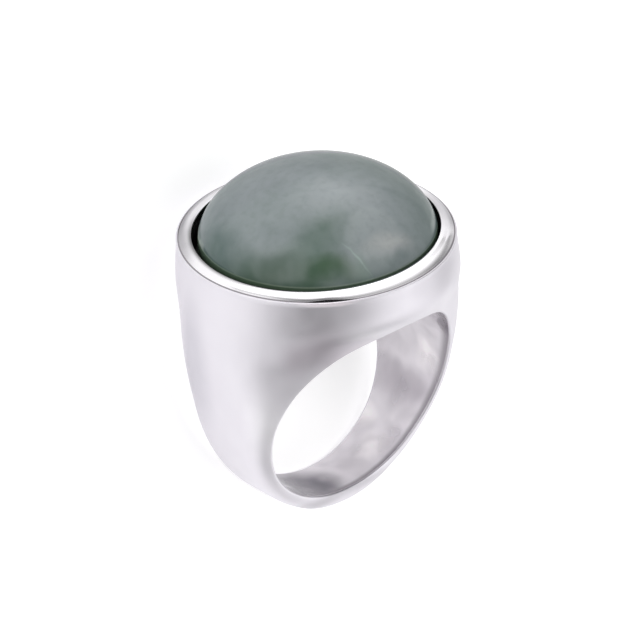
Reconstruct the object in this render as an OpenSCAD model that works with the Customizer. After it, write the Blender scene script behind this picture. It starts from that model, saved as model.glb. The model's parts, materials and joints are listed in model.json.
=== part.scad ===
// Wide metal ring with a round cabochon set down in a recessed seat.
// The ring is drawn upright, with the finger hole along Y and the stone on top,
// and is then laid on its side on the surface, as it comes to rest by itself.

/* [Finger hole] */
// Diameter of the finger hole
bore_d = 19; // [18.6:0.1:19.4]

/* [Head] */
// Height of the rim's outer edge above the middle of the finger hole
rim_z = 13.9; // [13.6:0.1:14.4]
// Rise of the rim from its outer edge to its inner edge
rim_rise = 0.55; // [0.3:0.05:0.9]
// Width of the small chamfer along the rim's outer edge
rim_chamfer = 0.2; // [0.1:0.05:0.3]
// Diameter of the seat
seat_d = 21.1; // [20.8:0.1:21.5]
// Metal left between the finger hole and the seat's floor
seat_floor_t = 2; // [1.5:0.1:2.4]

/* [Stone] */
// Diameter of the stone at its widest
stone_d = 20; // [19.6:0.1:20.3]
// Height of the dome above the stone's widest line
dome_h = 6.1; // [5:0.1:7]
// Fullness of the dome, where 2 is an ellipse
dome_power = 1.85; // [1.7:0.05:2.3]
// How far the stone's widest line lies below the rim's inner edge
stone_sink = 0.6; // [0.4:0.1:1]
// How far the stone sits from the seat's middle, across the finger and along it
stone_shift = [0.1, -0.08]; // [-0.15:0.01:0.15]
// Bevel between the stone's side and its flat back
back_bevel = 0.5; // [0.3:0.1:0.8]
// Clearance between the stone's back and the seat's floor
stone_lift = 0.1; // [0.05:0.05:0.2]

/* [Hidden] */

// Sections of the metal, from the bottom of the shank up to the rim.
// "at" is the height above the middle of the hole, and below that middle the
// way back down around the hole. "half" is half the width along the finger,
// "wall" the metal outside the hole's radius, and "square" the section's
// power: 2 is an oval, and more is squarer.
//           at    half   wall  square
SECTIONS = [
            [-15,   2.8,   1.6,  6.9],
            [-10.5, 3.05,  1.3,  7.2],
            [-6,    3.6,   1.3,  6.8],
            [-1,    5.05,  1.6,  5.3],
            [4,     7.3,   2.25, 3.4],
            [7.5,   9.5,   2.5,  2.4],
            [11,   11.9,   2.35, 2],
            [14.4, 11.85,  1.9,  2],
           ];
AT = 0;
HALF = 1;
WALL = 2;
SQUARE = 3;
LAST = len(SECTIONS) - 1;

LOOP_POINTS = 48;     // points around one loop of the skin
FOLDS = 15;           // loops from the hole's middle down to the shank's bottom
LEVELS = 13;          // loops from the hole's middle up to the rim
DOME_STEPS = 20;      // bands of the stone's dome
SEAT_MARGIN = 0.5;    // how far the rim's slope is carried into the seat

bore_r = bore_d / 2;
seat_r = seat_d / 2;
stone_r = stone_d / 2;
floor_z = bore_r + seat_floor_t;
stone_base_z = floor_z + stone_lift;
girdle_z = rim_z + rim_rise - stone_sink;

// Slope of a column at row i, from the rows on both sides, level at the bottom
function slope(col, i) =
    i == 0 ? 0 :
    let (j = min(i + 1, LAST))
    (SECTIONS[j][col] - SECTIONS[i - 1][col]) / (SECTIONS[j][AT] - SECTIONS[i - 1][AT]);

// Row of the table below the place s
function row_below(s, i = LAST - 1) =
    i == 0 || SECTIONS[i][AT] <= s ? i : row_below(s, i - 1);

// Column of the table at the place s, on a smooth curve through the rows
function value(col, s) =
    let (
        place = max(SECTIONS[0][AT], s),
        i = row_below(place),
        step = SECTIONS[i + 1][AT] - SECTIONS[i][AT],
        t = (place - SECTIONS[i][AT]) / step
    )
    (1 + 2 * t) * pow(1 - t, 2) * SECTIONS[i][col]
    + t * pow(1 - t, 2) * step * slope(col, i)
    + t * t * (3 - 2 * t) * SECTIONS[i + 1][col]
    - t * t * (1 - t) * step * slope(col, i + 1);

function signed_power(c, e) = sign(c) * pow(abs(c), e);
function half_width(s, v) = value(HALF, s) * signed_power(sin(v), 2 / value(SQUARE, s));
function reach(s, v) = (bore_r + value(WALL, s)) * signed_power(cos(v), 2 / value(SQUARE, s));

// Level loop at height z, made smaller all round by the inset
function level_loop(z, inset = 0) = [
    for (v = loop_angles())
        let (shrink_x = 1 - inset / (bore_r + value(WALL, z)), shrink_y = 1 - inset / value(HALF, z))
        [reach(z, v) * shrink_x, half_width(z, v) * shrink_y, z]
];

// Loop folded down on both sides by an angle, closing flat at 90 degrees
function folded_loop(fold) = [
    for (v = loop_angles())
        let (r = folded_reach(fold, v, 4), s = -abs(r) * fold * PI / 180)
        [r * cos(fold), half_width(s, v), -abs(r) * sin(fold)]
];

// Distance from the hole's axis to the skin, where the place along the band
// depends on that distance, so it is refined in a few passes
function folded_reach(fold, v, passes) =
    passes == 0 ? bore_r :
    reach(-abs(folded_reach(fold, v, passes - 1)) * fold * PI / 180, v);

// Round loop of the rim's inner edge
function round_loop(z, r) = [for (v = loop_angles()) [r * cos(v), r * sin(v), z]];

function loop_angles() = [for (k = [0:LOOP_POINTS - 1]) (k + 0.5) * 360 / LOOP_POINTS];

// The rim's slope, carried on inward past the seat's wall
rim_slope = rim_rise / (bore_r + value(WALL, rim_z) - rim_chamfer - seat_r);
crown_z = rim_z + rim_rise + rim_slope * SEAT_MARGIN;

function skin_loops() = concat(
    [for (k = [FOLDS:-1:1]) folded_loop(90 * k / FOLDS)],
    [for (k = [0:LEVELS]) level_loop((rim_z - rim_chamfer) * k / LEVELS)],
    [level_loop(rim_z, rim_chamfer), round_loop(crown_z, seat_r - SEAT_MARGIN)]
);

// Closed skin through the loops. The first loop is folded flat, so its left
// and right halves share their points.
module skin() {
    loops = skin_loops();
    count = len(loops);
    mirrored = function(k) (LOOP_POINTS * 3 / 2 - 1 - k) % LOOP_POINTS;
    on_left = function(k) k >= LOOP_POINTS / 4 && k < LOOP_POINTS * 3 / 4;
    at = function(i, k) i * LOOP_POINTS + (i == 0 && on_left(k) ? mirrored(k) : k);
    sides = [
        for (i = [0:count - 2], k = [0:LOOP_POINTS - 1])
            let (m = (k + 1) % LOOP_POINTS)
            each (at(i, k) == at(i, m)
                ? [[at(i, k), at(i + 1, k), at(i + 1, m)]]
                : [[at(i, k), at(i + 1, k), at(i + 1, m)], [at(i, k), at(i + 1, m), at(i, m)]])
    ];
    crown = [for (k = [LOOP_POINTS - 1:-1:0]) at(count - 1, k)];
    polyhedron(points = [for (loop = loops) each loop], faces = concat(sides, [crown]));
}

// Half section of the stone from its back up over the dome, as radius and height
function stone_section() = concat(
    [[0, stone_base_z], [stone_r - back_bevel, stone_base_z], [stone_r, stone_base_z + back_bevel]],
    [for (k = [0:DOME_STEPS]) dome_point(90 * k / DOME_STEPS)]
);
function dome_point(v) = [
    v == 90 ? 0 : stone_r * pow(cos(v), 2 / dome_power),
    girdle_z + dome_h * pow(sin(v), 2 / dome_power)
];

// Outline of the ring seen along X, as points of width and height: the head's
// far side, the section at the shank's bottom, and the stone
head_side = [for (z = [0:0.1:rim_z - rim_chamfer]) [value(HALF, z), z]];
shank_end = [
    for (v = [-60:2:60])
        let (r = folded_reach(90, v, 4))
        [half_width(-r * PI / 2, v), -r]
];
stone_side = [for (v = [0:1:90]) dome_point(v)];

// Furthest that an outline reaches in the direction at an angle from +Y to +Z
function furthest(outline, angle) = max([for (p = outline) p.x * cos(angle) + p.y * sin(angle)]);

// Lean at which the head's side and the shank's bottom touch one flat surface
function balance(low, high, tries) =
    let (mid = (low + high) / 2)
    tries == 0 ? mid :
    furthest(head_side, -mid) > furthest(shank_end, -mid)
        ? balance(mid, high, tries - 1)
        : balance(low, mid, tries - 1);

lean = balance(0, 60, 24);
rest_z = furthest(head_side, -lean);
front_y = furthest(stone_side, 90 - lean) + stone_shift.y * sin(lean);
back_y = furthest(shank_end, 270 - lean);
rest_y = (front_y - back_y) / 2;

// Lays the upright ring on its far side, with the stone facing -Y
module laid() {
    translate([0, rest_y, rest_z]) rotate([90 - lean, 0, 0]) rotate([0, 0, 180]) children();
}

module ring_body() {
    color("gainsboro")
    laid()
    difference() {
        skin();
        rotate([90, 0, 0]) cylinder(h = 4 * bore_d, r = bore_r, center = true, $fn = 96);
        translate([0, 0, floor_z]) cylinder(h = 2 * rim_z, r = seat_r, $fn = 96);
    }
}

module stone() {
    color("darkseagreen")
    laid()
    translate([stone_shift.x, stone_shift.y, 0])
    rotate_extrude($fn = 96) polygon(stone_section());
}

ring_body();
stone();
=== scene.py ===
"""Steel ring with a round green cabochon, lying on its side on a pale floor.

The ring's surfaces are worked out upright, in millimetres: X across the
finger, Y along the finger hole, Z up to the stone, and the origin in the
middle of the hole. lay_down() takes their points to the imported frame, in metres.
"""
import json
import bmesh
import bpy
import numpy as np
from mathutils import Matrix


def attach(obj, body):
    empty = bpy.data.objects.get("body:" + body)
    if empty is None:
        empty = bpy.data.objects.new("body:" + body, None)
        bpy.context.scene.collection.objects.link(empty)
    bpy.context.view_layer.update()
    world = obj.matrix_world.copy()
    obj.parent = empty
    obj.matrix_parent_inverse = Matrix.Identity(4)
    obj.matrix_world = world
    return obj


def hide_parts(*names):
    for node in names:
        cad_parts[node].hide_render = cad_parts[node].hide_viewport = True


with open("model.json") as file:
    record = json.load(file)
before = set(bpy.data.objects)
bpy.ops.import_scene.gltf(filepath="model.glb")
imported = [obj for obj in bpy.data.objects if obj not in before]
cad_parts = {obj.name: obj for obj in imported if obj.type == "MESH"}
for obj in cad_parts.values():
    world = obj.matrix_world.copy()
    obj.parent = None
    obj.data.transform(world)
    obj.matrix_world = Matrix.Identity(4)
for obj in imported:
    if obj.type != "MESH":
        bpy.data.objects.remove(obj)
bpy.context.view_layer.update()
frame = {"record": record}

MM = 0.001

# The hole's size, place and direction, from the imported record
hole = frame["record"]["mounts"][0]
HOLE_R = hole["dims"]["r_mm"]
HOLE_MIDDLE = np.array(hole["pos_m"])
HOLE_UP = np.array(hole["axis"]) / np.linalg.norm(hole["axis"])

# Sections of the metal from the bottom of the shank up to the rim, in mm. "at" is
# the height above the hole's middle, and below that middle the way back down around
# the hole. "half" is half the width along the finger, "wall" the metal outside the
# hole's radius, and "square" the section's power: 2 is an oval, and more is squarer.
SECTIONS = {
    "at": np.array([-15, -10.5, -6, -1, 4, 7.5, 11, 14.4]),
    "half": np.array([2.8, 3.05, 3.6, 5.05, 7.3, 9.5, 11.9, 11.85]),
    "wall": np.array([1.6, 1.3, 1.3, 1.6, 2.25, 2.5, 2.35, 1.9]),
    "square": np.array([6.9, 7.2, 6.8, 5.3, 3.4, 2.4, 2, 2]),
}
RIM_Z = 13.9          # height of the rim's outer edge above the hole's middle
RIM_RISE = 0.55       # from the rim's outer edge up to its inner edge
RIM_ROUND = 0.22      # size of the rounding below the rim's outer edge
RIM_ROUND_IN = 0.08   # and on the rim's side
RIM_LIP = 0.09        # how far that rounding heads out past the skin below it
RIM_EDGE = 2.5        # fullness of that rounding, where more is sharper
RIM_LINE = 0.13       # width of the fine line just inside that rounding
WEDGE_AT = np.radians(-126.5)     # direction from the rim's middle in which the line is widest
WEDGE_REACH = np.radians(6)       # how far to both sides it is wider
WEDGE = 1.2           # how much wider it is there, as a part of its width
RIM_ARCH = 0.03       # how far the rim's slope bulges
LIP_LEAN = 0.48       # how far the rim's inner edge leans in over the seat
LIP_RISE = 0.2        # and how far it rises
LIP_ROUND = 0.45      # size of the rounding along the rim's inner edge
HOLE_ROUND = 0.25     # size of the rounding along the hole's edges
SEAT_R = 10.55        # radius of the seat
SEAT_FLOOR_Z = 11.5   # height of its floor
WAVE_HEIGHT = 0.012   # of each of the waves that polishing left on the hole's wall
# Those waves: how many go around the hole, how they turn along it, in radians for a way
# as long as its radius, and where they start, in radians
WAVES = ((5, 2, 0), (9, -5, 1), (3, 7, 2))

STONE_R = 10.0        # radius of the stone at its widest line
STONE_SHIFT = (0.1, -0.08)    # from the seat's middle, across the finger and along it
STONE_BACK_Z = 11.6   # height of its flat back
BACK_BEVEL = 0.5      # between that back and its side
GIRDLE_Z = 13.85      # height of the stone's widest line
DOME_H = 6.1          # height of the dome above that line
DOME_POWER = 1.85     # fullness of the dome, where 2 is an ellipse

# Clouds in the materials, in the upright ring, in mm: middle, half sizes, turn around
# the upright in degrees, the part of the size out to which it is full, strength, colour.
# Left is -X, near is -Y, and the front lies between the two
DEEP = 100            # half size of a cloud that goes right through the piece
# Painted highlights and painted shade in the satin steel's colour
SATIN_PAINTED_LIGHT_AND_SHADE = [
    ((-4, -9, 8), (5, 4, 3), 0, 0.1, 0.4, "#D6CCD5"),               # above the hole
    ((-11.6, 2.6, 5), (1.6, 3, 9), 0, 0.2, 0.5, "#BEBCC4"),         # left flank
    ((-7.2, -8.9, 9.6), (3.2, 3.4, 3.6), 0, 0, 0.5, "#A0969F"),     # painted shade on the shoulder
    ((-8.9, -7.4, 8.4), (2.2, 2.4, 3), 0, 0, 0.42, "#A0969F"),      # and its left side
    ((-6.7, -9.3, 13.8), (3.6, 3, 0.35), 0, 0.2, 1, "#FFF7FD"),     # bright edge in front
    ((-3.8, -10.5, 10.3), (3.4, 2.5, 0.9), 0, 0, 0.6, "#F6F4F8"),   # streak above the hole
    ((-1, -2.8, -9.6), (9, 2, 1.1), 0, 0.1, 0.55, "#A5A2A8"),       # hole's edge, at the bottom
    ((-10.2, -4.8, 1.5), (2.6, 2.6, 6), 0, 0, 0.85, "#F6F4F8"),     # flank beside the hole
]
# Painted shade that greys the polished rim towards its ends
POLISHED_PAINTED_SHADE = [
    ((10.4, -4.6, 14), (3, 7, 2), -24, 0.2, 0.6, "#8A878C"),        # right end
    ((-9.2, 7, 14), (1.9, 8, 1.5), 143, 0.1, 0.7, "#8E8B90"),       # left end
]
LINE_CLOUDS = [
    ((-6.5, -9.3, 14.0), (2.6, 2.6, 1), 0, 0.4, 0.97, "#151316"),   # black stretch in front
]
# Painted reflections, light and dark, on the hole's wall
HOLE_PAINTED_REFLECTIONS = [
    ((8.6, 0.2, -4.1), (3, 7, 2.8), 0, 0, 0.72, "#A29CA4"),         # grey low on the right
    ((8.6, -1.9, -4.2), (2, 1.6, 1.3), 0, 0, 0.4, "#A29CA4"),       # and its near side
    ((5.9, 2.6, -7.4), (1.8, 1.8, 1.4), 0, 0, 0.9, "#FBF7F9"),      # light place below it
    ((2.2, 0, -9.2), (3.2, 3.8, 1.4), 0, 0, 0.5, "#BDB8BE"),        # grey at the bottom
    ((-3.3, -1.2, -9), (4.6, 5.5, 2.6), 0, 0.4, 0.95, "#64616A"),   # dark left of it
    ((4.6, -0.6, -8.2), (2.4, 2.2, 1.6), 0, 0, 0.8, "#FBF7F9"),     # light right of it
    ((8.9, -2.6, -0.6), (1.6, 2.4, 2.2), 0, 0.2, 0.9, "#FFFBFD"),   # light half way up
    ((8.7, -6, 3.9), (1.4, 1.25, 1.7), 0, 0.7, 0.6, "#7F7B82"),     # curved dark patch
]
# The stone's own clouds and vein, with painted reflection in its pale clouds and painted
# highlights along its edge
STONE_CLOUDS_AND_PAINTED_LIGHT = [
    ((-4.1, -2.3, 0), (5.9, 8.6, DEEP), 10, 0.6, 0.98, "#828B8C"),   # pale left half, partly painted reflection
    ((1.1, -5.4, 0), (7.2, 9, DEEP), 7, 0, 0.69, "#ADB2B6"),         # paler near side, partly painted reflection
    ((-3.5, 3.7, 0), (10.2, 4.5, DEEP), -26, 0.4, 0.63, "#798084"),  # grey far side
    ((9.1, -4, 0), (1.8, 14.4, DEEP), 24, 0.6, 1, "#3E4D4F"),        # dark right edge
    ((0.2, 5.5, 0), (10.2, 1.3, DEEP), -33, 0.6, 1, "#5B6268"),      # streak across the far side
    ((-6.2, -6.2, 0), (8.2, 3.1, DEEP), 8, 0.1, 1, "#65756E"),       # green front
    ((0.4, -8.8, 0), (3.2, 1, DEEP), -5, 0.1, 1, "#A3A5A5"),         # pale near edge
    ((-9.5, -4.7, 0), (9.2, 3.2, DEEP), -64, 0, 0.8, "#1A3F1A"),     # dark green front edge
    ((-5, -7.8, 0), (3.7, 1, DEEP), -35, 0.1, 0.68, "#254B1A"),      # and its near part
    ((-0.4, -7.7, 0), (3, 2.1, DEEP), 0, 0.75, 0.16, "#B4BABA"),     # pale patch by the vein
    ((-3.4, -5.5, 0), (1.1, 1, DEEP), 0, 0, 0.35, "#3F5A49"),        # green blot beside it
    ((-7.7, -5.3, 0), (4.4, 1.3, DEEP), -52, 0, 0.4, "#33483C"),     # darker front edge
    ((-2.7, -9.2, 0), (1, 1.3, DEEP), 0, 0, 0.35, "#5E7A68"),        # light foot of the vein
    ((-2.75, -8.4, 0), (1.75, 0.14, DEEP), -68, 0, 0.5, "#9DB0A8"),  # vein
    ((-8.1, 5.5, 14.6), (3.5, 0.35, 0.6), 54, 0, 0.8, "#B4BDB7"),    # painted highlight along the edge, left
    ((7.3, -6.3, 15), (3.2, 0.5, 0.7), 49, 0, 0.5, "#B4BDB7"),       # painted highlight along the edge, right
]

# Painted shades that follow a surface's grid: the parts of the way across it, from 0
# to 1, at which they begin and are full
NEAR_SHADE = (0.88, 0.985)     # painted shade in a strip along the near edge of the hole's wall
LIP_SHADE = (0.58, 0.74)       # painted shade on the turn of the rim's lip
LIP_SHADE_X = (-3.8, -9)       # which begins and is full at these X, so on the left
EDGE_SHADE = (0.6, 0.05)       # painted shade along the rim's outer edge, on its far side
TO_FAR_EDGE = (0.67, 0.74, 0)  # the way from the rim's middle to the middle of that edge
FAR_EDGE = (-1.5, 2)           # how far along that way the painted shade begins and is full, in mm

# Roughness of each finish, from its smoothest to its dullest places
SATIN_ROUGHNESS = (0.43, 0.49)
POLISHED_ROUGHNESS = (0.09, 0.17)
HOLE_ROUGHNESS = (0.16, 0.28)
LINE_ROUGHNESS = (0.25, 0.4)
SEAT_ROUGHNESS = (0.2, 0.6)

# Relief in the steel, in mm
SCRATCH_SPACING = 0.16        # of the fine scratches that the soft pad leaves
SCRATCH_DEPTH = 0.0012
RIPPLE_LENGTH = 1.3           # of the ripples that polishing by hand leaves
RIPPLE_DEPTH = 0.013

NOISE_REACH = (0.3, 0.7)      # the part of 0 to 1 that holds nearly all of a noise
AGATE_IOR = 1.54

SEAT_POLISH_AND_SHADE_Z = (14.1, 12.4)  # heights at which the seat's polish ends and its painted shade begins, and at which its dullness and painted shade are full
EDGE_LINE_Z = 14.4            # height of the painted highlight line near the stone's edge
EDGE_LINE_ABOVE = 0.14        # how far above that it fades out
EDGE_LINE_BELOW = 0.08        # and how far below it the painted shade on the side is full

# How finely the surfaces are divided
ROWS_BESIDE = 44      # beside the hole, on each side
ROWS_ABOVE = 16       # between the top of the hole and the rim, on each side
ROWS_BELOW = 104      # around the shank, below the hole's middle
COLUMNS = 96          # from the far edge to the near edge
WALL_COLUMNS = 40     # along the hole
ROUND_STEPS = 8       # across a rounding
LINE_STEPS = 2        # across the fine line inside the rim's outer edge
SLOPE_STEPS = 10      # across the rim
SEAT_STEPS = 8        # down the seat's wall, and in across its floor
DOME_STEPS = 64       # from the stone's widest line up to its top
STONE_STEPS = 192     # around the stone
REACH_PASSES = 6      # passes in which the outer band's rays find the metal
MERGE = 2e-7          # points nearer than this, in metres, become one
SHARP_ANGLE = np.radians(40)  # edges that turn by more than this stay sharp


# Placing

def lay_down(points_mm):
    """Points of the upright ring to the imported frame, in metres: turned so that the
    hole's near side faces up and the stone faces -Y, then moved to the hole's place."""
    across = np.array([-1.0, 0.0, 0.0])
    up_to_stone = np.cross(across, -HOLE_UP)
    return HOLE_MIDDLE + MM * np.asarray(points_mm) @ np.stack([across, -HOLE_UP, up_to_stone])


def laid_direction(vector):
    """A direction of the upright ring, of length 1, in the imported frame."""
    turned = lay_down(vector) - HOLE_MIDDLE
    return turned / np.linalg.norm(turned)


# Shapes

def section(column, place):
    """A column of the section table at places along the metal: cubics through the
    rows, level at the first row, with the slope at a row taken from its neighbours."""
    at, rows = SECTIONS["at"], SECTIONS[column]
    slopes = np.zeros(len(rows))
    slopes[1:-1] = (rows[2:] - rows[:-2]) / (at[2:] - at[:-2])
    slopes[-1] = (rows[-1] - rows[-2]) / (at[-1] - at[-2])
    place = np.maximum(place, at[0])
    i = np.clip(np.searchsorted(at, place, side="right") - 1, 0, len(at) - 2)
    step = at[i + 1] - at[i]
    t = (place - at[i]) / step
    return ((1 + 2 * t) * (1 - t) ** 2 * rows[i] + t * (1 - t) ** 2 * step * slopes[i]
            + t * t * (3 - 2 * t) * rows[i + 1] - t * t * (1 - t) * step * slopes[i + 1])


def section_point(place, turn):
    """Reach from the hole's axis and place along the hole of a section's edge, in the
    direction of a turn from its middle line: a superellipse in polar form."""
    power = section("square", place)
    size = (np.abs(np.cos(turn)) ** power + np.abs(np.sin(turn)) ** power) ** (-1 / power)
    reach = (HOLE_R + section("wall", place)) * size * np.cos(turn)
    return reach, section("half", place) * size * np.sin(turn)


def turn_at_reach(place, reach):
    """The turn at which a section's edge has come in to a reach from the hole's axis."""
    power = section("square", place)
    across = np.clip(reach / (HOLE_R + section("wall", place)), 0, 1)
    along = np.maximum(1 - across ** power, 0) ** (1 / power)
    return np.arctan2(along, across)


def outer_band():
    """The metal's outer skin, outside the roundings of the hole's edges. Rows run from
    the rim's left down around the shank and up to the rim's right, and columns from
    the far edge to the near edge. Above the hole's middle a row is a level section.
    Below it a row is a fan of rays from the hole's axis at one angle, and the section
    that each ray meets lies at the arc back up to the hole's middle, which depends on
    the ray's length, so the length is found in a few passes. The columns lie closer
    together towards the edges."""
    radius = HOLE_R + HOLE_ROUND
    beside = radius * np.sin(np.linspace(0, np.pi / 2, ROWS_BESIDE + 1))
    above = np.linspace(radius, RIM_Z - RIM_ROUND, ROWS_ABOVE + 1)[1:]
    up = np.concatenate([beside, above])
    around = np.linspace(0, np.pi, ROWS_BELOW + 1)[1:-1]
    height = np.concatenate([up[::-1], 0 * around, up])[:, None]
    fold = np.concatenate([0 * up, np.minimum(around, np.pi - around), 0 * up])[:, None]
    side = np.concatenate([0 * up - 1, np.where(around > np.pi / 2, 1, -1), 0 * up + 1])[:, None]
    edge_reach = np.sqrt(np.maximum(radius ** 2 - height ** 2, 0))
    even = np.linspace(1, -1, COLUMNS + 1)[None]
    across = (even + np.sin(np.pi / 2 * even)) / 2
    edge_place = np.where(fold > 0, -radius * fold, height)
    turn = turn_at_reach(edge_place, edge_reach) * across
    place = edge_place + 0 * turn
    for _ in range(REACH_PASSES):
        reach = section_point(place, turn)[0]
        place = np.where(fold > 0, -reach * fold, height)
    reach, along = section_point(place, turn)
    return np.stack([side * reach * np.cos(fold), along, height - reach * np.sin(fold)], -1)


def rounding(start, corner, end, fullness=1.0):
    """A rounded edge: a rational quadratic curve from start to end that heads for the
    corner, and comes nearer to it the larger the fullness."""
    t = np.linspace(0, 1, ROUND_STEPS + 1)[:, None, None]
    pull = 2 * fullness * t * (1 - t)
    return (((1 - t) ** 2 * start + pull * corner + t * t * end)
            / ((1 - t) ** 2 + pull + t * t))


def between(start, end, steps):
    """Straight steps from start to end, both included."""
    t = np.linspace(0, 1, steps + 1)[:, None, None]
    return start * (1 - t) + end * t


def hole_surfaces(band):
    """The hole's wall, and the rounding on each side between it and the outer band. The
    wall is a cylinder with slight waves, the sum of three sines in the angle around
    the hole and the place along it, which fade out at its edges. A rounding's corner
    is the point where the outer skin would meet the cylinder."""
    rows = band[ROWS_ABOVE:len(band) - ROWS_ABOVE]
    far, near = rows[:, 0], rows[:, -1]
    outward = far * (1, 0, 1)
    outward /= np.linalg.norm(outward, axis=-1, keepdims=True)
    x, z = outward[:, 0], outward[:, 2]
    place = HOLE_R * np.where(z < 0, np.arcsin(z), z)
    width = section_point(place, turn_at_reach(place, HOLE_R * np.where(z < 0, 1, np.abs(x))))[1]
    near_corner = HOLE_R * outward - width[:, None] * (0, 1, 0)
    far_corner = near_corner * (1, -1, 1)
    wall = between(far_corner - (0, HOLE_ROUND, 0), near_corner + (0, HOLE_ROUND, 0), WALL_COLUMNS)
    angle, along = np.arctan2(z, x), wall[..., 1] / HOLE_R
    waves = sum(np.sin(turns * angle + lengthwise * along + start)
                for turns, lengthwise, start in WAVES)
    fade = np.sin(np.pi * np.linspace(0, 1, WALL_COLUMNS + 1)) ** 0.5
    wall += outward * (WAVE_HEIGHT * waves * fade[:, None])[..., None]
    return rounding(far, far_corner, wall[0]), wall, rounding(wall[-1], near_corner, near)


def rim_surfaces(band):
    """The rounding of the rim's outer edge, a fine line inside it, the sloped rim with
    its lip, and the seat, as closed loops. The rim runs from the oval of the metal at
    the rim's height to the seat's circle, straight in towards its middle, and bulges
    up by half a sine. The line widens in front as a bell curve of the direction. The
    lip is a rounding that heads for a point further in over the seat and higher. The
    seat is a cylinder down to its floor, which closes at its middle."""
    left, right = band[0], band[-1]
    start = np.concatenate([right[::-1], left[1:]])
    turn = np.arctan2(start[:, 1] / section("half", RIM_Z),
                      start[:, 0] / (HOLE_R + section("wall", RIM_Z)))
    reach, along = section_point(np.full(len(turn), RIM_Z), turn)
    corner = np.stack([reach, along, 0 * turn + RIM_Z], -1)
    inward = -corner * (1, 1, 0)
    inward /= np.linalg.norm(inward, axis=-1, keepdims=True)
    lip = (0, 0, RIM_Z + RIM_RISE) - inward * SEAT_R
    slope = (lip - corner) / np.linalg.norm(lip - corner, axis=-1, keepdims=True)
    wedge = 1 + WEDGE * np.exp(-((turn - WEDGE_AT) / WEDGE_REACH) ** 2)
    line_end = RIM_ROUND_IN + RIM_LINE * wedge[:, None]
    line = between(corner + slope * RIM_ROUND_IN, corner + slope * line_end, LINE_STEPS)
    rim = between(line[-1], lip - slope * LIP_ROUND, SLOPE_STEPS)
    arch = RIM_ARCH * np.sin(np.linspace(0, np.pi, SLOPE_STEPS + 1))[:, None, None]
    rim = rim + arch * (0, 0, 1)
    corner = corner - inward * RIM_LIP
    leaning = lip + inward * LIP_LEAN + (0, 0, LIP_RISE)
    lip_round = rounding(rim[-1], leaning, lip - (0, 0, LIP_ROUND))
    seat_foot = (0, 0, SEAT_FLOOR_Z) - inward * SEAT_R
    seat_wall = between(lip_round[-1], seat_foot, SEAT_STEPS)
    seat_floor = between(seat_foot, seat_foot * (0, 0, 1), SEAT_STEPS)
    return (rounding(start, corner, line[0], RIM_EDGE), line,
            np.concatenate([rim, lip_round[1:]]), np.concatenate([seat_wall, seat_floor[1:]]))


def stone_surface():
    """The stone: a profile turned around, from the middle of the flat back out over a
    bevel and up a short side to its widest line, then over a superellipse dome."""
    t = np.linspace(0, np.pi / 2, DOME_STEPS + 1)
    radius = STONE_R * np.maximum(np.cos(t), 0) ** (2 / DOME_POWER)
    height = GIRDLE_Z + DOME_H * np.sin(t) ** (2 / DOME_POWER)
    radius[-1] = 0
    back_radius = [0, STONE_R - BACK_BEVEL, STONE_R]
    back_height = [STONE_BACK_Z, STONE_BACK_Z, STONE_BACK_Z + BACK_BEVEL]
    radius = np.concatenate([back_radius, radius])[:, None]
    height = np.concatenate([back_height, height])[:, None]
    turn = np.linspace(0, 2 * np.pi, STONE_STEPS + 1)
    return np.stack([STONE_SHIFT[0] + radius * np.cos(turn),
                     STONE_SHIFT[1] + radius * np.sin(turn), height + 0 * turn], -1)


def make_piece(name, surfaces):
    """One closed mesh from (grid of upright points, material) pairs. The squares of each
    grid become faces, points that meet become one, and the faces are turned outwards.
    Each corner of a face keeps its place across the grid, from 0 at the grid's first
    row to 1 at its last, as the attribute "across"."""
    points, faces, finishes, places, start = [], [], [], [], 0
    mesh = bpy.data.meshes.new(name)
    for finish, (grid, material) in enumerate(surfaces):
        rows, columns = grid.shape[:2]
        index = start + np.arange(rows * columns).reshape(rows, columns)
        squares = np.stack([index[:-1, :-1], index[1:, :-1], index[1:, 1:], index[:-1, 1:]], -1)
        points.append(grid.reshape(-1, 3))
        faces.append(squares.reshape(-1, 4))
        finishes.append(np.full(len(faces[-1]), finish))
        places.append((faces[-1] - start) // columns / (rows - 1))
        start += rows * columns
        mesh.materials.append(material)
    mesh.from_pydata(lay_down(np.concatenate(points)), [], np.concatenate(faces).tolist())
    mesh.polygons.foreach_set("material_index", np.concatenate(finishes).astype(np.int32))
    across = mesh.attributes.new("across", "FLOAT", "CORNER")
    across.data.foreach_set("value", np.concatenate(places).ravel().astype(np.float32))
    shape = bmesh.new()
    shape.from_mesh(mesh)
    bmesh.ops.remove_doubles(shape, verts=shape.verts, dist=MERGE)
    bmesh.ops.recalc_face_normals(shape, faces=shape.faces)
    shape.to_mesh(mesh)
    shape.free()
    mesh.shade_smooth()
    mesh.set_sharp_from_angle(angle=SHARP_ANGLE)
    piece = bpy.data.objects.new(name, mesh)
    bpy.context.scene.collection.objects.link(piece)
    return piece


# Materials

def colour(code):
    """An sRGB hex colour as the linear colour with alpha that a shader takes, by the two
    parts of the standard sRGB curve."""
    code = code.lstrip("#")
    parts = np.array([int(code[i:i + 2], 16) for i in (0, 2, 4)]) / 255
    linear = np.where(parts <= 0.04045, parts / 12.92, ((parts + 0.055) / 1.055) ** 2.4)
    return (*linear, 1.0)


def add_node(tree, kind, settings=(), links=()):
    """Adds a node to a tree. A setting is a (socket or property, value) pair, and a
    link a (socket, output of another node) pair."""
    node = tree.nodes.new("ShaderNode" + kind)
    for name, value in settings:
        if isinstance(name, int) or name in node.inputs:
            node.inputs[name].default_value = value
        else:
            setattr(node, name, value)
    for name, output in links:
        tree.links.new(output, node.inputs[name])
    return node


def new_material(name, settings):
    """A material with a principled shader of the given settings, as (material, tree,
    shader)."""
    material = bpy.data.materials.new(name)
    material.use_nodes = True
    shader = material.node_tree.nodes["Principled BSDF"]
    for socket, value in settings:
        shader.inputs[socket].default_value = value
    return material, material.node_tree, shader


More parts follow.
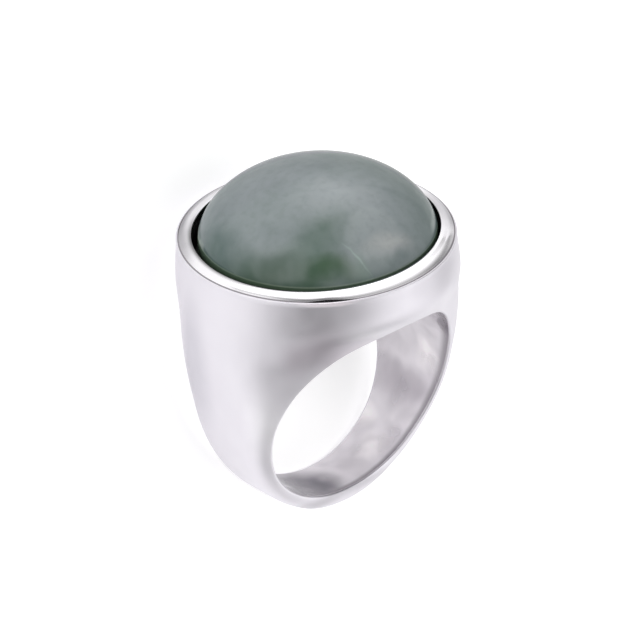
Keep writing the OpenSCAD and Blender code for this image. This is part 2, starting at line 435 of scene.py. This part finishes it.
def upright_mm(tree):
    """Places in the upright ring, in millimetres, for a material's patterns."""
    axes = np.stack([laid_direction(axis) for axis in np.eye(3)], axis=1)
    laid = add_node(tree, "TexCoord").outputs["Object"]
    return add_node(tree, "Mapping", [
        ("vector_type", "TEXTURE"), ("Location", HOLE_MIDDLE), ("Scale", (MM, MM, MM)),
        ("Rotation", Matrix(axes.tolist()).to_euler())], [("Vector", laid)]).outputs[0]


def coordinate(tree, places, axis):
    """One coordinate of places: "X", "Y" or "Z"."""
    return add_node(tree, "SeparateXYZ", [], [(0, places)]).outputs[axis]


def distance_along(tree, places, way):
    """How far places, or directions, reach along a way of length 1."""
    return add_node(tree, "VectorMath", [("operation", "DOT_PRODUCT"), (1, way)],
                    [(0, places)]).outputs["Value"]


def across_surface(tree):
    """The place across a surface's grid, from 0 to 1, that make_piece() keeps."""
    return add_node(tree, "Attribute", [("attribute_name", "across")]).outputs["Fac"]


def noise(tree, places, length, detail=2.0, output=0):
    """Soft noise from 0 to 1 whose blotches have a length in millimetres, as a value or
    as its output "Color"."""
    return add_node(tree, "TexNoise", [("Scale", 1 / length), ("Detail", detail)],
                    [("Vector", places)]).outputs[output]


def drifted(tree, places, length, amount):
    """Places pushed about by noise of a length, by up to an amount in millimetres."""
    push = add_node(tree, "VectorMath", [
        ("operation", "MULTIPLY_ADD"), (1, (2 * amount,) * 3), (2, (-amount,) * 3)],
        [(0, noise(tree, places, length, output="Color"))]).outputs[0]
    return add_node(tree, "VectorMath", [], [(0, places), (1, push)]).outputs[0]


def scaled(tree, value, low, high, to_low, to_high):
    """A value taken smoothly from the range low to high to the range to_low to to_high."""
    return add_node(tree, "MapRange", [
        ("interpolation_type", "SMOOTHSTEP"), ("From Min", low), ("From Max", high),
        ("To Min", to_low), ("To Max", to_high)], [("Value", value)]).outputs[0]


def rising(tree, value, begin, full, strength=1.0):
    """An amount that rises smoothly from 0 to a strength as a value goes from begin to
    full."""
    return scaled(tree, value, begin, full, 0, strength)


def product(tree, first, second):
    """Two amounts multiplied."""
    return add_node(tree, "Math", [("operation", "MULTIPLY")],
                    [(0, first), (1, second)]).outputs[0]


def plain(tree, code):
    """A hex colour that is the same everywhere, to mix others into."""
    result = add_node(tree, "RGB").outputs[0]
    result.default_value = colour(code)
    return result


def mixed(tree, ground, amount, code):
    """A colour with an amount of a hex colour mixed in."""
    return add_node(tree, "Mix", [("data_type", "RGBA"), (7, colour(code))],
                    [(0, amount), (6, ground)]).outputs[2]


def clouded(tree, code, places, clouds):
    """A hex colour with soft clouds over it, one after the other. A cloud has its middle,
    its half sizes and its turn around the upright, the part of its size out to which it
    is full, its strength and its colour."""
    result = plain(tree, code)
    for middle, size, turn, full_to, strength, cloud_code in clouds:
        inside = add_node(tree, "Mapping", [
            ("vector_type", "TEXTURE"), ("Location", middle), ("Scale", size),
            ("Rotation", (0, 0, np.radians(turn)))], [("Vector", places)]).outputs[0]
        reach = add_node(tree, "VectorMath", [("operation", "LENGTH")], [(0, inside)])
        amount = rising(tree, reach.outputs["Value"], 1, full_to, strength)
        result = mixed(tree, result, amount, cloud_code)
    return result


def far_edge(tree, places):
    """An amount that is 1 on the far side of the rim and 0 on its near side."""
    return rising(tree, distance_along(tree, places, TO_FAR_EDGE), *FAR_EDGE)


def roughened(tree, shader, height, depth):
    """Gives a shader a relief of a depth in millimetres."""
    bump = add_node(tree, "Bump", [("Distance", depth * MM), ("Strength", 1.0)],
                    [("Height", height)])
    tree.links.new(bump.outputs[0], shader.inputs["Normal"])


# Steel brushed with a fine soft pad: wide soft highlights without grain lines. Its colour
# carries painted highlights and painted shade, with a darker shoulder beside the hole
satin_steel, tree, shader = new_material("stainless_steel_satin", [("Metallic", 1)])
places = upright_mm(tree)
mottle = noise(tree, drifted(tree, places, length=4.0, amount=1.0), length=2.2, detail=3.0)
ground = clouded(tree, "#DEDBE1", drifted(tree, places, length=3.0, amount=0.3), SATIN_PAINTED_LIGHT_AND_SHADE)
tree.links.new(ground, shader.inputs["Base Color"])
tree.links.new(scaled(tree, mottle, *NOISE_REACH, *SATIN_ROUGHNESS), shader.inputs["Roughness"])
# The pad's fine scratches, drawn at about three times their real spacing so that they show
scratches = noise(tree, places, SCRATCH_SPACING, detail=1.0)
roughened(tree, shader, scratches, SCRATCH_DEPTH)

# Steel buffed on a wheel: clear bright reflections along the rim, a little smeared.
# Painted shade turns it grey towards both of its ends and its far outer edge, and dark
# on the turn of the lip on the left
polished_steel, tree, shader = new_material("stainless_steel_polished", [("Metallic", 1)])
places = drifted(tree, upright_mm(tree), length=3.0, amount=0.5)
smear = noise(tree, places, length=1.6)
across = across_surface(tree)
to_left = rising(tree, coordinate(tree, places, "X"), *LIP_SHADE_X)
painted_far_shade = product(tree, rising(tree, across, *EDGE_SHADE), far_edge(tree, places))
painted_lip_shade = product(tree, rising(tree, across, *LIP_SHADE, strength=0.77), to_left)
ground = clouded(tree, "#EBE9EC", places, POLISHED_PAINTED_SHADE)
ground = mixed(tree, ground, painted_far_shade, "#908D92")
ground = mixed(tree, ground, painted_lip_shade, "#161716")
tree.links.new(ground, shader.inputs["Base Color"])
tree.links.new(scaled(tree, smear, *NOISE_REACH, *POLISHED_ROUGHNESS),
               shader.inputs["Roughness"])

# Steel polished by hand inside the hole: a wavy, patchy shine, with painted reflections
# as light and dark blots, and painted shade in a strip along the near edge
hole_steel, tree, shader = new_material("stainless_steel_hand_polished", [("Metallic", 1)])
places = drifted(tree, upright_mm(tree), length=4.0, amount=1.2)
smear = noise(tree, places, length=2.4, detail=1.5)
painted_near_shade = rising(tree, across_surface(tree), *NEAR_SHADE, strength=0.8)
ground = clouded(tree, "#DCD8DD", places, HOLE_PAINTED_REFLECTIONS)
ground = mixed(tree, ground, painted_near_shade, "#7A757C")
smeared = rising(tree, smear, begin=0.35, full=0.8, strength=0.4)
ground = mixed(tree, ground, smeared, "#A9A4AB")
tree.links.new(ground, shader.inputs["Base Color"])
tree.links.new(scaled(tree, smear, *NOISE_REACH, *HOLE_ROUGHNESS), shader.inputs["Roughness"])
ripples = noise(tree, places, RIPPLE_LENGTH, detail=1.0)
roughened(tree, shader, ripples, RIPPLE_DEPTH)

# Steel of a fine grey line around the rim, nearly black in front, and darkened on the
# far side by painted shade
line_steel, tree, shader = new_material("stainless_steel_edge_line", [("Metallic", 1)])
places = upright_mm(tree)
painted_line_shade = far_edge(tree, places)
ground = clouded(tree, "#8C888D", places, LINE_CLOUDS)
ground = mixed(tree, ground, product(tree, painted_line_shade, painted_line_shade), "#49464B")
tree.links.new(ground, shader.inputs["Base Color"])
smear = noise(tree, places, length=1.6)
tree.links.new(scaled(tree, smear, *NOISE_REACH, *LINE_ROUGHNESS), shader.inputs["Roughness"])

# Steel as cut in the seat, polished only at its top: bright under the rim's lip, then soon
# dull, with painted shade darkening it, so that the gap around the stone reads as a dark line
seat_steel, tree, shader = new_material("stainless_steel_seat_wall", [("Metallic", 1)])
height = coordinate(tree, upright_mm(tree), "Z")
ground = mixed(tree, plain(tree, "#DAD8DC"), rising(tree, height, *SEAT_POLISH_AND_SHADE_Z), "#4A4C4A")
tree.links.new(ground, shader.inputs["Base Color"])
tree.links.new(scaled(tree, height, *SEAT_POLISH_AND_SHADE_Z, *SEAT_ROUGHNESS),
               shader.inputs["Roughness"])

# Milky agate, cut and polished: a dull grey-green body with pale clouds, partly painted
# reflection, and fine specks, darker green towards its front edge, a pale vein, and a soft
# gloss of the polish over it. A painted highlight runs as a thin light line along its
# edge, with painted shade on the side below it
green_agate, tree, shader = new_material("agate_milky", [
    ("Roughness", 0.6), ("IOR", AGATE_IOR), ("Specular IOR Level", 0),
    ("Coat Weight", 0.55), ("Coat Roughness", 0.1), ("Coat IOR", AGATE_IOR)])
upright = upright_mm(tree)
places = drifted(tree, upright, length=2.6, amount=0.5)
height = coordinate(tree, upright, "Z")
milk = rising(tree, noise(tree, places, length=1.7, detail=1.0),
              begin=0.3, full=0.8, strength=0.1)
specks = rising(tree, noise(tree, places, length=0.7, detail=3.0),
                begin=0.4, full=0.75, strength=0.12)
painted_edge_highlight = rising(tree, height, EDGE_LINE_Z + EDGE_LINE_ABOVE, EDGE_LINE_Z, strength=0.35)
painted_side_shade = rising(tree, height, EDGE_LINE_Z, EDGE_LINE_Z - EDGE_LINE_BELOW, strength=0.85)
ground = clouded(tree, "#4C5E5B", places, STONE_CLOUDS_AND_PAINTED_LIGHT)
for amount, code in ((milk, "#A6ADAE"), (specks, "#3F5349"), (painted_edge_highlight, "#8F9C8A"),
                     (painted_side_shade, "#425543")):
    ground = mixed(tree, ground, amount, code)
tree.links.new(ground, shader.inputs["Base Color"])

band = outer_band()
far_round, hole_wall, near_round = hole_surfaces(band)
rim_round, rim_line, rim_slope, seat = rim_surfaces(band)
ring_metal = make_piece("ring_metal", [
    (band, satin_steel), (far_round, satin_steel), (hole_wall, hole_steel),
    (near_round, satin_steel), (rim_round, satin_steel), (rim_line, line_steel),
    (rim_slope, polished_steel), (seat, seat_steel)])
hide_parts("ring_body")
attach(ring_metal, "root")

cabochon = make_piece("cabochon", [(stone_surface(), green_agate)])
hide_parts("stone")
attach(cabochon, "root")


# Floor, camera and lights

FLOOR_REACH = 0.1     # of the square card to each side, in metres
floor_mesh = bpy.data.meshes.new("floor")
corners = np.array([(-1, -1, 0), (1, -1, 0), (1, 1, 0), (-1, 1, 0)]) * FLOOR_REACH
floor_mesh.from_pydata(corners, [], [(0, 1, 2, 3)])
floor = bpy.data.objects.new("floor", floor_mesh)
bpy.context.scene.collection.objects.link(floor)
# Matte white card: an even pale ground, with a slight glow in place of the light that
# a lit studio floor would get
paper, tree, shader = new_material("paper_matte", [
    ("Roughness", 0.9), ("Base Color", colour("#F4F4F4")), ("Specular IOR Level", 0.1),
    ("Emission Color", colour("#FFFFFF")), ("Emission Strength", 0.43)])
floor_mesh.materials.append(paper)

# The camera, worked out from the photo's edges, in the upright ring
CAMERA_AROUND = np.radians(39.282)    # how far it stands round to the left of the hole
CAMERA_ABOVE = np.radians(29.737)     # and how far above it
CAMERA_TURN = np.radians(2.995)       # its turn about its own line of sight
CAMERA_DISTANCE = 950.0               # in mm
PICTURE = 640                         # width and height of the picture, in pixels
PIXELS_PER_MM = 11.9622
HOLE_IN_PICTURE = (323.827, 378.916)  # where the hole's middle lies in it
SENSOR = 36.0                         # width of the camera's sensor, in mm

right = np.array([np.cos(CAMERA_AROUND), -np.sin(CAMERA_AROUND), 0])
back = np.array([-np.sin(CAMERA_AROUND) * np.cos(CAMERA_ABOVE),
                 -np.cos(CAMERA_AROUND) * np.cos(CAMERA_ABOVE), np.sin(CAMERA_ABOVE)])
up = np.cross(back, right)
right, up = (np.cos(CAMERA_TURN) * right - np.sin(CAMERA_TURN) * up,
             np.sin(CAMERA_TURN) * right + np.cos(CAMERA_TURN) * up)
place = (back * CAMERA_DISTANCE
         - right * (HOLE_IN_PICTURE[0] - PICTURE / 2) / PIXELS_PER_MM
         + up * (HOLE_IN_PICTURE[1] - PICTURE / 2) / PIXELS_PER_MM)
camera_data = bpy.data.cameras.new("camera")
camera_data.sensor_width = SENSOR
camera_data.lens = SENSOR * PIXELS_PER_MM * CAMERA_DISTANCE / PICTURE
camera = bpy.data.objects.new("camera", camera_data)
bpy.context.scene.collection.objects.link(camera)
pose = np.eye(4)
pose[:3, :3] = np.stack([laid_direction(v) for v in (right, up, back)], axis=1)
pose[:3, 3] = lay_down(place)
camera.matrix_world = Matrix(pose.tolist())
bpy.context.scene.camera = camera

# The studio: an even surround with broad soft lights and dark gaps in it. Each has the
# way to its middle as azimuth and elevation, the angles from there at which it begins
# and ends to fade, in degrees, and how much brighter it is than the surround
SURROUND = 0.22
SOFT_LIGHTS = [
    # azimuth, elevation, full to, gone at, brightness
    (-107, -8, 8, 42, 1.65),      # over the stone
    (-33, 11, 13, 47, 1.6),       # left of the camera
    (190, 80, 2, 36, 2.0),        # overhead
    (119, 22, 13, 47, 1.2),       # beside the ring
    (184, -1, 2, 36, 0.7),        # behind
    (29, -35, 2, 36, 1.4),        # glow beyond the floor
    (56, -4, 8, 42, 0.85),        # low in front
    (19, 24, 21, 55, 0.6),        # front wall
    (30, 24, 2, 36, -1.2),        # gap in the front wall
    (85, -24, 12, 46, -1.4),      # gap below the light beside the ring
    (-19, 60, 4, 22, -1.6),       # gap that the camera looks through
]
world = bpy.data.worlds.new("studio")
world.use_nodes = True
tree = world.node_tree
looking = add_node(tree, "TexCoord").outputs["Generated"]
brightness = add_node(tree, "Value").outputs[0]
brightness.default_value = SURROUND
for azimuth, elevation, full_to, gone_at, strength in SOFT_LIGHTS:
    around, above = np.radians(azimuth), np.radians(elevation)
    middle = (np.cos(around) * np.cos(above), np.sin(around) * np.cos(above), np.sin(above))
    glow = rising(tree, distance_along(tree, looking, middle), np.cos(np.radians(gone_at)),
                  np.cos(np.radians(full_to)), strength)
    brightness = add_node(tree, "Math", [("operation", "ADD")],
                          [(0, brightness), (1, glow)]).outputs[0]
lit = add_node(tree, "Math", [("operation", "MAXIMUM"), (1, 0.0)], [(0, brightness)]).outputs[0]
tree.links.new(lit, tree.nodes["Background"].inputs["Strength"])
tree.nodes["Background"].inputs["Color"].default_value = (1, 1, 1, 1)
bpy.context.scene.world = world
bpy.context.scene.view_settings.view_transform = "Standard"
